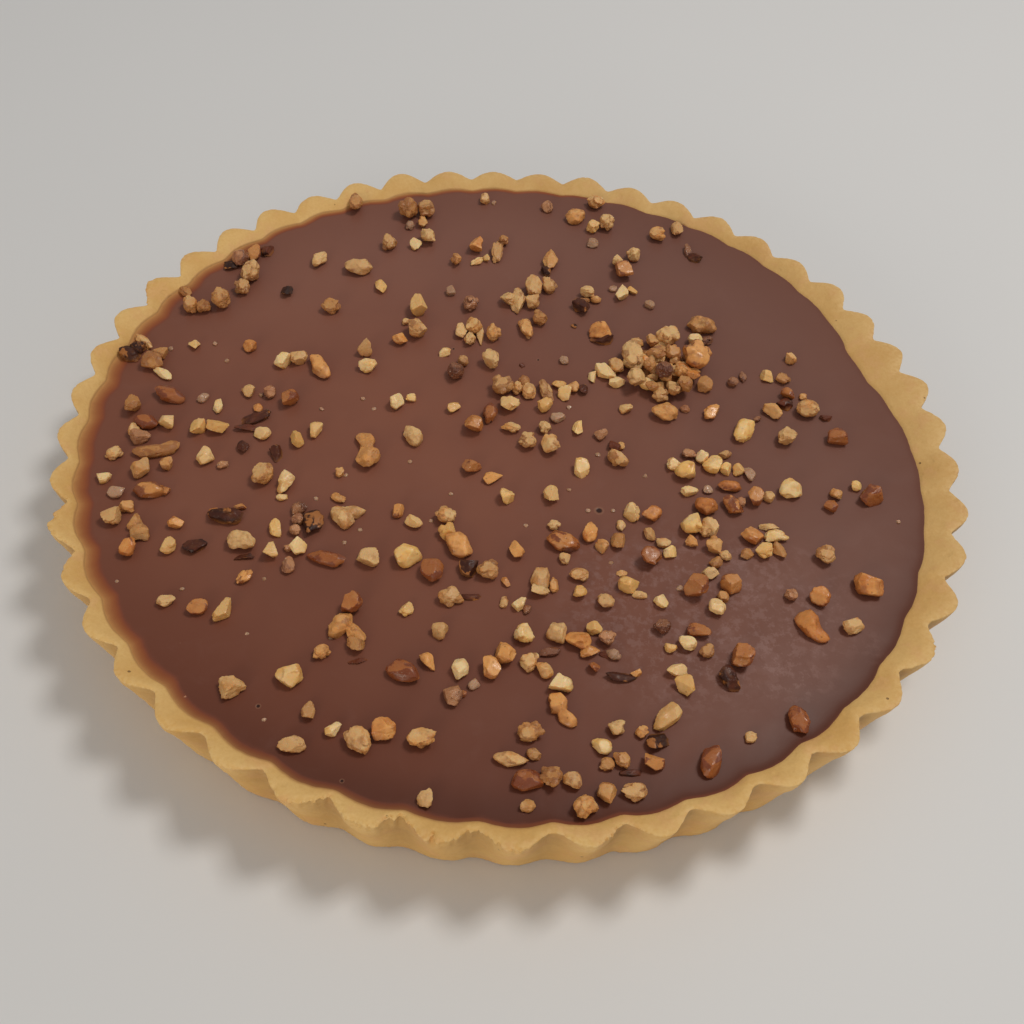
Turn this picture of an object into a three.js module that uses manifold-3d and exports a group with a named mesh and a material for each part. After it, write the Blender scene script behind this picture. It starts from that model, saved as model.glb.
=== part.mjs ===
// A fluted chocolate tart with chopped hazelnuts on top, 280 mm across the tips of its lobes.
// Millimetres, +Z up. The tart rests on its underside, with the origin at the middle of it.
// -Y is the front, and angles are counterclockwise from +X.

import * as THREE from "three";
import { ConvexGeometry } from "three/addons/geometries/ConvexGeometry.js";
import { mergeVertices } from "three/addons/utils/BufferGeometryUtils.js";
import Module from "manifold-3d";

const { degToRad, euclideanModulo, lerp, mapLinear, radToDeg } = THREE.MathUtils;

// Pastry
const tipRadius = 140; // lobe tips at the rim
const notchRadius = 135; // bottoms of the notches at the rim
const baseTipRadius = 133.8; // lobe tips at the underside
const baseNotchRadius = 132.3;
const rimHeight = 25.2; // underside to the rim, at the notches
const tipRise = 1.2; // how far the lobe tips stand above the notches
const lobeCount = 47;
const firstLobe = degToRad(-10.1);
const stepsPerLobe = 6;
// How far the tip of each lobe stands out beyond tipRadius, round from the first one.
const lobeReach = [
  1.1, 0.3, 0.9, 1.9, 0.8, 0.3, 1.0, -1.0, -0.9, -0.3, -0.9, -0.7, 0.1, -1.6, -1.5, -0.5, 1.4, 0.9, 0.5,
  1.8, 1.6, 1.8, 2.3, 1.8, 0.8, 0.2, -0.1, 0.1, 0.9, 0.3, 0.2, 0, 0.3, -0.2, 0.2, 0, -0.3, 0.2, 0, 0.3,
  -0.2, 0, 0.2, 0, 0.4, 0.9, 0.6,
];
// How many degrees the lobes are turned from even spacing, at degrees round the tart.
const lobeTurns = [
  [-180, -0.3], [-165, -0.4], [-156, -0.9], [-148, -0.4], [-140, -0.4], [-132, -0.6], [-124, -0.5],
  [-105, 0], [-94, 0.2], [-80, 0.35], [-68, 0], [-45, 0.1], [-35, 0.7], [-28, 1.3], [-20, 1.2],
  [-8, 0.85], [12, 0.7], [21, 0.2], [30, -0.1], [125, -0.1], [142, -0.35], [180, -0.3],
];
const mouthRadius = 131.7; // inner edge of the rim
const mouthShift = 2.6; // the rim is thicker by this much towards the back right
const mouthRipple = 1.3; // the inner edge follows the lobes
const wallSlope = Math.tan(degToRad(6)); // inner face of the wall
const floorThickness = 5;
const rimRound = 0.8; // rounding of the rim's two edges
const footRound = 1.2; // rounding between wall and underside
const cornerRound = 2; // between the wall's inner face and the floor
const sag = 0.8; // the rim sags this much at the front and the back

// Filling
const fillDepth = 2.4; // surface of the chocolate below the rim
const fillLevel = rimHeight - fillDepth;
const meniscusRise = 0.5; // the chocolate creeps up the wall
const meniscusWidth = 2.6;
const gap = 0.3; // clearance between touching pieces

// Nuts. A nut is one or more lobes: [x, y, length, width, turn of its length in degrees].
const nutHeight = 0.66; // height of a lobe as a share of its width
const nutCorners = 16; // points whose hull makes a lobe
const nutFoot = -0.55; // where the flat underside cuts a lobe, as a share of half its height
const heapSeed = 3;
const nutSeed = 7;
const nuts = {
  pale: [
    [[74, 7, 14, 7, 70]],
    [[-67, -28.5, 8, 6, 80], [-66.5, -32.5, 6.5, 5, 60]],
    [[-27.5, -55, 9.5, 8, 20]],
    [[-53, -96.5, 9.5, 7, 60]],
    [[54.5, -13, 8.5, 8, 0]],
    [[46.5, -99, 12, 5.5, 50]],
    [[-94, -22, 9, 6, -60]],
    [[86, -17, 8.5, 8, 10]],
  ],
  golden: [
    [[-75.5, 76.5, 9.5, 6, 85]],
    [[-61, 73.5, 11, 7.5, 5]],
    [[-121, 16.5, 9, 7.5, -60]],
    [[16.5, 115, 9.5, 7, 45]],
    [[48, 12, 10, 7, 15]],
    [[-110, -22.5, 12, 5, 10], [-104.5, -20, 6.5, 5, 35]],
    [[-110.5, -29.5, 9, 7, 60]],
    [[-108, -49.5, 9, 5, -55], [-104, -55, 9, 6, -50]],
    [[-75.5, -54, 9.5, 7, -15]],
    [[-44, -18.5, 9, 8, 80], [-45, -12.5, 7, 4.5, 85], [-46.5, -9, 8.5, 4, -10]],
    [[-31.5, -7, 10, 6, -60]],
    [[-48.5, -41.5, 10.5, 6, -55], [-45.5, -39.5, 8, 4.5, 0]],
    [[-42.5, -79.5, 9, 6, 65], [-38, -82, 8, 5, -50]],
    [[11, -59, 10, 5.5, 85]],
    [[6, -115, 11, 4.5, -3]],
    [[16.5, -76, 8, 6.5, -20]],
    [[62.5, 57, 11, 7.5, -15]],
  ],
  roasted: [
    [[-66, 21, 13, 6, -60]],
    [[-111, 2, 13, 6, -20]],
    [[-115, -10.5, 9.5, 6, -10]],
    [[-106, -38, 10.5, 6, -5]],
    [[-49, -57.5, 13.5, 5, -12], [-54.5, -56, 5, 4.5, 0]],
    [[-13.5, -49, 11, 7, -50]],
    [[-20, -58.5, 9, 7.5, -60]],
    [[-23.5, -92.5, 11.5, 6.5, -12]],
    [[67.5, -17, 9.5, 4.5, -3]],
    [[68, -25, 10.5, 5.5, -60]],
    [[60, -26.5, 8.5, 6.5, -20]],
    [[112, -17, 9, 8, 45]],
    [[105.5, -51.5, 10.5, 8.5, -30]],
    [[86, -66, 9.5, 7, -70], [89.5, -70, 6.5, 4.5, -15]],
    [[17, -44.5, 11.5, 6.5, -25]],
    [[17, -98, 7, 6, -60], [20, -102, 7, 4.5, -40]],
    [[80.5, -97, 8.5, 6, -75]],
    [[57.5, -111, 10, 6.5, 80]],
    [[10.5, -120.5, 9, 5.5, 10]],
  ],
  dark: [
    [[-126.5, 22.5, 6.5, 5.5, 40]],
    [[-81.5, -44.5, 13, 6.5, 3]],
    [[63, -86, 11.5, 5.5, -62]],
  ],
};
// Pieces piled up right of the middle: lobes over a low mound, with how far each is raised.
const mound = { x: 48, y: 34, halfLength: 14, halfWidth: 13, height: 3.6 };
const heapLobes = [
  [37.5, 38, 13, 7, -83, 0],
  [39, 44, 6, 5, 0, 1.5],
  [45, 44.5, 6.5, 5.5, 70, 2.5],
  [50.5, 47, 10.5, 8.5, -30, 0.5],
  [60.5, 40.5, 12, 9, -10, 0],
  [46.5, 38.5, 8, 5, 5, 2.5],
  [52, 40.5, 6.5, 6, 60, 2],
  [43, 33.5, 6.5, 5, 60, 1.5],
  [48.5, 31.5, 7, 7, 0, 1],
  [54.5, 32.5, 7, 5.5, 50, 1],
  [39, 27, 8.5, 6.5, 55, 0],
  [44, 24, 6.5, 5.5, 0, 0],
  [54.5, 26, 7, 5.5, 60, 0],
  [60.5, 28, 7, 6.5, 0, 0],
  [33, 32, 8, 6, -67, 0],
  [29, 29, 9, 5.5, -22, 0],
  [33, 25.5, 7, 4.5, 21, 0],
];

const looks = {
  pastry: { color: 0xd9a866, roughness: 0.8, metalness: 0 },
  chocolate: { color: 0x6f4033, roughness: 0.32, metalness: 0 },
  pale: { color: 0xe6c588, roughness: 0.45, metalness: 0 },
  golden: { color: 0xc89a5c, roughness: 0.6, metalness: 0 },
  roasted: { color: 0xb8743c, roughness: 0.5, metalness: 0 },
  dark: { color: 0x3a1d18, roughness: 0.35, metalness: 0 },
};

// Hand-pressed dough isn't quite round: the radius varies slowly round the tart.
function roundness(angle) {
  return 1 - 0.0042 * Math.cos(2 * angle) - 0.0058 * Math.sin(3 * angle) - 0.0011 * Math.sin(4 * angle);
}

// 1 at the centre angle and fading to 0 over the width, both in degrees.
function bump(angle, centre, width) {
  return Math.exp((Math.cos(angle - degToRad(centre)) - 1) / degToRad(width) ** 2);
}

// How far the lobes at an angle are turned from even spacing.
function lobeTurn(angle) {
  const degrees = euclideanModulo(radToDeg(angle) + 180, 360) - 180;
  const next = Math.max(1, lobeTurns.findIndex(([place]) => degrees <= place));
  const [start, first] = lobeTurns[next - 1];
  const [end, last] = lobeTurns[next];
  return degToRad(mapLinear(degrees, start, end, first, last));
}

// Counts lobes from the first one. Whole numbers are tips.
function lobePlace(angle) {
  const even = angle - lobeTurn(angle - lobeTurn(angle));
  return ((even - firstLobe) / (2 * Math.PI)) * lobeCount;
}

// 0 at the bottom of a notch and 1 at the tip of a lobe.
function fluting(angle) {
  return Math.abs(Math.cos(Math.PI * lobePlace(angle)));
}

function outerRadius(angle, z) {
  const up = z / rimHeight;
  const shallow = 1.6 * bump(angle, 0, 20) + 1.3 * bump(angle, 165, 36);
  const notch = lerp(baseNotchRadius, notchRadius + shallow, up);
  const lobe = euclideanModulo(Math.round(lobePlace(angle)), lobeCount);
  const tip = lerp(baseTipRadius, tipRadius + lobeReach[lobe], up);
  return lerp(notch, tip, fluting(angle)) * roundness(angle);
}

function innerRadius(angle, z) {
  const ripple = mouthRipple * (fluting(angle) - 0.5) * (z / rimHeight);
  const sway = 0.6 * (Math.cos(2 * angle - 0.84) + Math.cos(3 * angle - 1.04));
  const shift = mouthShift * Math.cos(angle - 0.58);
  const swell = 2.2 * bump(angle, 56, 17) - 3 * bump(angle, 20, 8);
  return mouthRadius - shift - sway + swell + ripple - (rimHeight - z) * wallSlope;
}

// The top of the rim at its inner edge. The outer edge stands up at each lobe.
function rimLevel(angle) {
  return rimHeight + sag * Math.cos(2 * angle);
}

// A closed solid of revolution whose section changes with the angle. Each corner of the section is
// a function that gives [radius, height] at an angle, from the axis round to the axis again.
function turnedSolid(section, segments) {
  const geometry = new THREE.LatheGeometry(section.map(() => new THREE.Vector2(1, 0)), segments);
  const position = geometry.attributes.position;
  for (let i = 0; i < position.count; i += 1) {
    const step = Math.floor(i / section.length) % segments;
    const even = firstLobe + (step / segments) * 2 * Math.PI;
    const angle = even + lobeTurn(even);
    const [radius, height] = section[i % section.length](angle);
    position.setXYZ(i, radius * Math.cos(angle), radius * Math.sin(angle), height);
  }
  geometry.computeVertexNormals();
  return geometry;
}

function pastryShell() {
  const wallFoot = floorThickness + cornerRound;
  const outerTop = (angle) => rimLevel(angle) + tipRise * fluting(angle);
  const section = [
    () => [0, 0],
    (angle) => [outerRadius(angle, 0) - footRound, 0],
    (angle) => [outerRadius(angle, footRound), footRound],
    (angle) => [outerRadius(angle, rimHeight), outerTop(angle) - rimRound],
    (angle) => [outerRadius(angle, rimHeight) - rimRound, outerTop(angle)],
    (angle) => [innerRadius(angle, rimHeight) + rimRound, rimLevel(angle)],
    (angle) => [innerRadius(angle, rimHeight), rimLevel(angle) - rimRound],
    (angle) => [innerRadius(angle, wallFoot), wallFoot],
    (angle) => [innerRadius(angle, floorThickness) - cornerRound, floorThickness],
    () => [0, floorThickness],
  ];
  return turnedSolid(section, lobeCount * stepsPerLobe);
}

function chocolateFilling() {
  const bottom = floorThickness + gap;
  const wallFoot = bottom + cornerRound;
  const section = [
    () => [0, bottom],
    (angle) => [innerRadius(angle, bottom) - cornerRound - gap, bottom],
    (angle) => [innerRadius(angle, wallFoot) - gap, wallFoot],
    (angle) => [innerRadius(angle, fillLevel) - gap, fillLevel + meniscusRise],
    (angle) => [innerRadius(angle, fillLevel) - meniscusWidth, fillLevel],
    () => [0, fillLevel],
  ];
  return turnedSolid(section, lobeCount * stepsPerLobe);
}

// The low core of the pile: a turned mound with an uneven edge, level on the chocolate.
function heapCore() {
  const steepness = [0, 1, 0.9, 0.55, 0]; // radius from the foot to the top
  const rise = [0, 0, 0.45, 0.9, 1];
  const wobble = (angle) => 1 + 0.07 * Math.cos(3 * angle + 1) + 0.06 * Math.sin(2 * angle);
  const section = steepness.map((out, i) => (angle) => [out * wobble(angle), rise[i]]);
  const core = turnedSolid(section, 24);
  core.scale(mound.halfLength, mound.halfWidth, mound.height);
  core.translate(mound.x, mound.y, fillLevel + gap);
  return core;
}

// A repeatable source of numbers between 0 and 1.
function numbers(seed) {
  let state = seed;
  return () => {
    state = (state * 16807) % 2147483647;
    return state / 2147483647;
  };
}

// One lobe of a nut: the hull of points spread over an egg, flat where it lies on the chocolate.
function nutLobe([x, y, length, width, turn, lift = 0], random) {
  const spiral = Math.PI * (3 - Math.sqrt(5));
  const points = [];
  for (let i = 0; i < nutCorners; i += 1) {
    const up = 1 - (2 * i + 1) / nutCorners;
    const around = i * spiral + 0.8 * random();
    const out = Math.sqrt(1 - up * up) * (0.84 + 0.16 * random());
    points.push(new THREE.Vector3(out * Math.cos(around), out * Math.sin(around), Math.max(up, nutFoot)));
  }
  const lobe = new ConvexGeometry(points);
  lobe.computeBoundingBox();
  const { min, max } = lobe.boundingBox;
  lobe.translate(-(min.x + max.x) / 2, -(min.y + max.y) / 2, -min.z);
  lobe.scale(length / (max.x - min.x), width / (max.y - min.y), (nutHeight * width) / (max.z - min.z));
  lobe.rotateZ(degToRad(turn));
  lobe.translate(x, y, fillLevel + gap + lift);
  return lobe;
}

const wasm = await Module();
wasm.setup();

function solidFrom(geometry) {
  const triangles = geometry.index ? geometry.toNonIndexed() : geometry;
  const bare = new THREE.BufferGeometry().setAttribute("position", triangles.getAttribute("position"));
  const merged = mergeVertices(bare, 1e-4);
  return new wasm.Manifold(
    new wasm.Mesh({
      numProp: 3,
      vertProperties: merged.attributes.position.array,
      triVerts: new Uint32Array(merged.index.array),
    }),
  );
}

function geometryFrom(solid) {
  const { vertProperties, triVerts } = solid.getMesh();
  const geometry = new THREE.BufferGeometry();
  geometry.setAttribute("position", new THREE.BufferAttribute(vertProperties, 3));
  geometry.setIndex(new THREE.BufferAttribute(triVerts, 1));
  geometry.computeVertexNormals();
  return geometry;
}

function joined(parts) {
  return geometryFrom(parts.map(solidFrom).reduce((whole, part) => whole.add(part)));
}

// A nut of several lobes is one solid.
function nutPiece(lobes, seed) {
  const random = numbers(seed);
  const parts = lobes.map((lobe) => nutLobe(lobe, random));
  return parts.length === 1 ? parts[0] : joined(parts);
}

function nutHeap() {
  const random = numbers(heapSeed);
  return joined([heapCore(), ...heapLobes.map((lobe) => nutLobe(lobe, random))]);
}

function node(name, geometry, look) {
  const mesh = new THREE.Mesh(geometry, new THREE.MeshStandardMaterial(look));
  mesh.name = name;
  return mesh;
}

const tart = new THREE.Group();
tart.add(node("pastry_shell", pastryShell(), looks.pastry));
tart.add(node("chocolate_filling", chocolateFilling(), looks.chocolate));
tart.add(node("nut_heap", nutHeap(), looks.golden));
for (const [kind, pieces] of Object.entries(nuts)) {
  pieces.forEach((lobes, i) => {
    const seed = nutSeed + 101 * (tart.children.length + 1);
    tart.add(node(`${kind}_nut_${i + 1}`, nutPiece(lobes, seed), looks[kind]));
  });
}

export default tart;
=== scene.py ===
import math
import random

import bmesh
import bpy
from mathutils import Matrix, Vector, noise
from mathutils.bvhtree import BVHTree


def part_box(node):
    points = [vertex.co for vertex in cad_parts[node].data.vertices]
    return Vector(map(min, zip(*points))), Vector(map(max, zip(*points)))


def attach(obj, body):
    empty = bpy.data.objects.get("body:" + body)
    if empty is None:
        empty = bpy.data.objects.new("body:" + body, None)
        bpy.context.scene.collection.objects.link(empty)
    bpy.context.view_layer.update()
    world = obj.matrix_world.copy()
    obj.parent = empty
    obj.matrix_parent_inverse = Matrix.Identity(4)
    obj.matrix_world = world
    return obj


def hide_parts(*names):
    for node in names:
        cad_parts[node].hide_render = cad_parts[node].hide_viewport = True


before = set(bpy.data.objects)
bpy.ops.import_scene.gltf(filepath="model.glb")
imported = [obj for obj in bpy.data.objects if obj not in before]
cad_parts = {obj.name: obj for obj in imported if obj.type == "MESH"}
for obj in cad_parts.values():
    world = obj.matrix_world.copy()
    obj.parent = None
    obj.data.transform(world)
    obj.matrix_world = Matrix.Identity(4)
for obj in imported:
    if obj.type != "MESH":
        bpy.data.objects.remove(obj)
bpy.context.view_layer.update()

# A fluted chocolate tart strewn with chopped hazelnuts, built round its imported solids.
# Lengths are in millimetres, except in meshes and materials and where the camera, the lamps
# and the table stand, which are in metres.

mm = 0.001

# the camera comes first, because toppings are laid by where they show in its 1024 x 1024 view
view = {
    "lens": 38.45,
    "sensor": 36.0,
    "side": 1024,
    "place": (0.0014, -0.2428, 0.2747),
    "right": (0.9966, 0.0636, 0.0528),
    "up": (-0.0826, 0.7668, 0.6366),
}
viewRight = Vector(view["right"])
viewUp = Vector(view["up"])
viewBack = viewRight.cross(viewUp).normalized()
viewFocal = view["lens"] / view["sensor"] * view["side"]


def makeCamera():
    camera = bpy.data.objects.new("camera", bpy.data.cameras.new("camera"))
    bpy.context.scene.collection.objects.link(camera)
    camera.data.lens = view["lens"]
    camera.data.sensor_width = view["sensor"]
    camera.data.clip_start = 0.01
    turned = Matrix((viewRight, viewUp, viewBack)).transposed().to_4x4()
    camera.matrix_world = Matrix.Translation(Vector(view["place"])) @ turned
    bpy.context.scene.camera = camera


def onLevel(x, y, level):  # the point at this height that shows at pixel x, y, in millimetres
    middle = view["side"] / 2
    ray = viewRight * (x - middle) - viewUp * (y - middle) - viewBack * viewFocal
    start = Vector(view["place"]) / mm
    return start + ray * ((level - start.z) / ray.z)


# outlines in millimetres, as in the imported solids
tart = {
    "tip": 140.0,
    "notch": 135.0,
    "baseTip": 133.8,
    "baseNotch": 132.3,
    "rim": 25.2,
    "tipRise": 1.2,
    "lobes": 47,
    "firstLobe": math.radians(-10.1),
    "mouth": 131.7,
    "mouthInset": 0.5,  # the chocolate's edge lies this far in from the mouth
    "mouthRipple": 1.3,
    "floor": 5.0,
    "level": 22.8,
}


def bump(angle, centre, width):  # 1 at the centre angle, fading over the width, all in degrees
    k = 1 / math.radians(width) ** 2
    return math.exp(k * (math.cos(angle - math.radians(centre)) - 1))


def outward(a):
    return Vector((math.cos(a), math.sin(a), 0))


def roundness(a):
    return 1 - 0.0042 * math.cos(2 * a) - 0.0058 * math.sin(3 * a) - 0.0011 * math.sin(4 * a)


# how far each lobe stands out, round from the first one, and how far the lobes there are turned
lobeReach = [1.1, 0.3, 0.9, 1.9, 0.8, 0.3, 1.0, -1.0, -0.9, -0.3, -0.9, -0.7, 0.1, -1.6, -1.5, -0.5,
             1.4, 0.9, 0.5, 1.8, 1.6, 1.8, 2.3, 1.8, 0.8, 0.2, -0.1, 0.1, 0.9, 0.3, 0.2, 0, 0.3, -0.2,
             0.2, 0, -0.3, 0.2, 0, 0.3, -0.2, 0, 0.2, 0, 0.4, 0.9, 0.6]
lobeTurns = [(-180, -0.3), (-165, -0.4), (-156, -0.9), (-148, -0.4), (-140, -0.4), (-132, -0.6),
             (-124, -0.5), (-105, 0), (-94, 0.2), (-80, 0.35), (-68, 0), (-45, 0.1), (-35, 0.7),
             (-28, 1.3), (-20, 1.2), (-8, 0.85), (12, 0.7), (21, 0.2), (30, -0.1), (125, -0.1),
             (142, -0.35), (180, -0.3)]


def remembered(work):  # works out each angle once
    known = {}

    def answer(a):
        key = round(a, 5)
        if key not in known:
            known[key] = work(a)
        return known[key]

    return answer


def alongTable(table, degrees):
    for (start, first), (end, second) in zip(table, table[1:]):
        if degrees <= end:
            return first + (second - first) * (degrees - start) / (end - start)
    return table[-1][1]


@remembered
def lobePlace(a):  # in lobes from the first, whole numbers at the tips
    degrees = (math.degrees(a) + 180) % 360 - 180
    even = degrees - alongTable(lobeTurns, degrees - alongTable(lobeTurns, degrees))
    return (even - math.degrees(tart["firstLobe"])) / 360 * tart["lobes"]


def fluting(a, softness=0.03):  # 0 in a notch and 1 at a tip; a soft notch is round
    wave = math.cos(math.pi * lobePlace(a)) ** 2
    low = math.sqrt(softness)
    return (math.sqrt(wave + softness) - low) / (math.sqrt(1 + softness) - low)


def rimLevel(a):
    return tart["rim"] + 0.8 * math.cos(2 * a)


@remembered
def mouth(a):  # where the chocolate meets the pastry
    shift = 2.6 * math.cos(a - 0.58)
    sway = 0.6 * (math.cos(2 * a - 0.84) + math.cos(3 * a - 1.04))
    ripple = tart["mouthRipple"] * (fluting(a) - 0.5) * (1 - 0.65 * bump(a, 0, 35))
    around = outward(a) * 18
    rough = 0.3 * noise.noise(around * 0.8) + 0.12 * noise.noise(around * 3)
    swell = 2.2 * bump(a, 56, 17) - 4.2 * bump(a, 20, 6.5) - 0.4 * bump(a, 110, 25)
    return tart["mouth"] - tart["mouthInset"] - shift - sway + swell + ripple + rough


# degrees round the tart, and how far the chocolate thins out towards the rim there
haloWidths = [(0, 0.6), (75, 0.8), (92, 1.6), (135, 2.3), (150, 3.9), (165, 5.0), (215, 5.0),
              (232, 3.9), (245, 2.5), (258, 2.1), (270, 1.7), (285, 1.3), (305, 0.9), (342, 0.6),
              (360, 0.6)]


@remembered
def halo(a):
    return alongTable(haloWidths, math.degrees(a) % 360)


class Wire:  # a node's output, with arithmetic
    def __init__(self, finish, socket):
        self.finish = finish
        self.socket = socket

    def math(self, operation, *others):
        values = [self, *others]
        return self.finish.node("ShaderNodeMath", {"operation": operation}, dict(enumerate(values)))

    def __add__(self, other):
        return self.math("ADD", other)

    def __sub__(self, other):
        return self.math("SUBTRACT", other)

    def __rsub__(self, other):
        return self.finish.node("ShaderNodeMath", {"operation": "SUBTRACT"}, {0: other, 1: self})

    def __mul__(self, other):
        return self.math("MULTIPLY", other)

    __radd__ = __add__
    __rmul__ = __mul__


class Finish:  # one material
    def __init__(self, name):
        self.material = bpy.data.materials.new(name)
        self.material.use_nodes = True
        self.tree = self.material.node_tree
        self.shader = self.tree.nodes["Principled BSDF"]

    def node(self, kind, settings=None, values=None, output=0):
        made = self.tree.nodes.new(kind)
        for name, setting in (settings or {}).items():
            if name == "stops":
                self.setStops(made.color_ramp, setting)
            else:
                setattr(made, name, setting)
        for name, value in (values or {}).items():
            self.feed(made.inputs[name], value)
        return Wire(self, made.outputs[output])

    def setStops(self, ramp, stops):
        while len(ramp.elements) < len(stops):
            ramp.elements.new(0.5)
        for element, (position, colour) in zip(ramp.elements, stops):
            element.position = position
            element.color = (*colour, 1)

    def feed(self, socket, value):
        if isinstance(value, Wire):
            self.tree.links.new(value.socket, socket)
        elif socket.type == "RGBA":
            socket.default_value = (*value, 1)
        else:
            socket.default_value = value

    def set(self, **values):
        for name, value in values.items():
            self.feed(self.shader.inputs[name.replace("_", " ")], value)

    def place(self):
        return self.node("ShaderNodeTexCoord", output="Object")

    def attribute(self, name):
        return self.node("ShaderNodeAttribute", {"attribute_name": name}, output="Fac")

    def axis(self, name):
        return self.node("ShaderNodeSeparateXYZ", {}, {0: self.place()}, output=name)

    def cloud(self, size, detail=2.0, roughness=0.5, distortion=0.0):  # size in millimetres
        values = {"Vector": self.place(), "Scale": 1 / (size * mm), "Detail": detail}
        values.update({"Roughness": roughness, "Distortion": distortion})
        return self.node("ShaderNodeTexNoise", {}, values, output="Fac")

    def spots(self, size, output="Distance"):  # one to a cell of this size in millimetres
        values = {"Vector": self.place(), "Scale": 1 / (size * mm)}
        return self.node("ShaderNodeTexVoronoi", {}, values, output=output)

    def step(self, value, low, high):  # 0 below low and 1 above high, smooth between
        settings = {"interpolation_type": "SMOOTHSTEP", "clamp": True}
        if low > high:
            return 1 - self.step(value, high, low)
        return self.node("ShaderNodeMapRange", settings, {"Value": value, "From Min": low, "From Max": high})

    def blend(self, factor, first, second):
        settings = {"data_type": "RGBA", "clamp_factor": True}
        return self.node("ShaderNodeMix", settings, {0: factor, 6: first, 7: second}, output=2)

    def relief(self, height, depth, strength):  # depth in millimetres
        values = {"Height": height, "Distance": depth * mm, "Strength": strength}
        return self.node("ShaderNodeBump", {}, values, output="Normal")


def pastryFinish(name, pitShare):
    f = Finish(name)
    colour = {
        "pale": (0.83, 0.525, 0.19),
        "gold": (0.75, 0.435, 0.135),
        "peach": (0.83, 0.47, 0.20),
        "crumb": (0.93, 0.66, 0.31),
        "backRightShade": (0.42, 0.25, 0.12),
        "toasted": (0.60, 0.31, 0.08),
        "shaded": (0.38, 0.205, 0.062),
        "stain": (0.52, 0.27, 0.092),
        "pit": (0.16, 0.07, 0.03),
    }
    patches = f.step(f.cloud(14, 3), 0.35, 0.7)
    tint = f.blend(patches, colour["pale"], colour["gold"])
    tint = f.blend(f.step(f.cloud(7, 4, 0.6), 0.5, 0.66) * 0.5, tint, colour["peach"])
    # painted shade: the back and right of the pastry are painted darker
    backRight = f.axis("X") * 0.75 + f.axis("Y") * 0.65
    tint = f.blend(f.step(backRight, -0.01, 0.1) * 0.24, tint, colour["backRightShade"])
    grain = f.step(f.cloud(0.9, 4, 0.65), 0.3, 0.75)
    tint = f.blend(grain * 0.25, tint, colour["toasted"])
    edge = f.attribute("edge")
    tint = f.blend(edge * f.step(f.cloud(1.2, 3), 0.4, 0.6) * 0.6, tint, colour["crumb"])
    # painted shade in the flutes' hollows, deepest high on the wall under the lip
    tint = f.blend(f.attribute("hollow") * (f.cloud(4, 3) * 0.5 + 0.3), tint, colour["shaded"])
    stain = f.step(f.attribute("stain") + (f.cloud(2.2, 3) - 0.5) * 0.3, 0.1, 0.95)
    tint = f.blend(stain, tint, colour["stain"])
    chosen = f.step(f.spots(5.5, output="Color"), 0.7, 0.74)
    pits = f.step(f.spots(5.5), 0.09, 0.045) * chosen * pitShare
    tint = f.blend(pits, tint, colour["pit"])
    dents = f.step(f.spots(4.2), 0.32, 0.12) * f.step(f.spots(4.2, output="Color"), 0.55, 0.62)
    height = f.cloud(0.7, 4, 0.6) * 0.5 + f.cloud(3.5, 3) - pits * 1.8 - dents * 0.5
    f.set(Base_Color=tint, Roughness=f.cloud(5, 3) * 0.2 + 0.5, Normal=f.relief(height, 0.3, 0.75))
    f.set(Specular_IOR_Level=0.3)
    return f.material


# where a blotchy painted sheen lies on the chocolate, in metres, and its small holes: x, y and radius
sheenAndSmudge = {"x": 0.058, "y": -0.064, "long": 0.050, "wide": 0.034}
holes = [(27.5, -30.3, 1.2), (-59.6, -105.4, 0.6), (-34.9, -124.1, 0.5), (-23, 36, 0.5), (6, 34, 0.5)]


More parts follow.
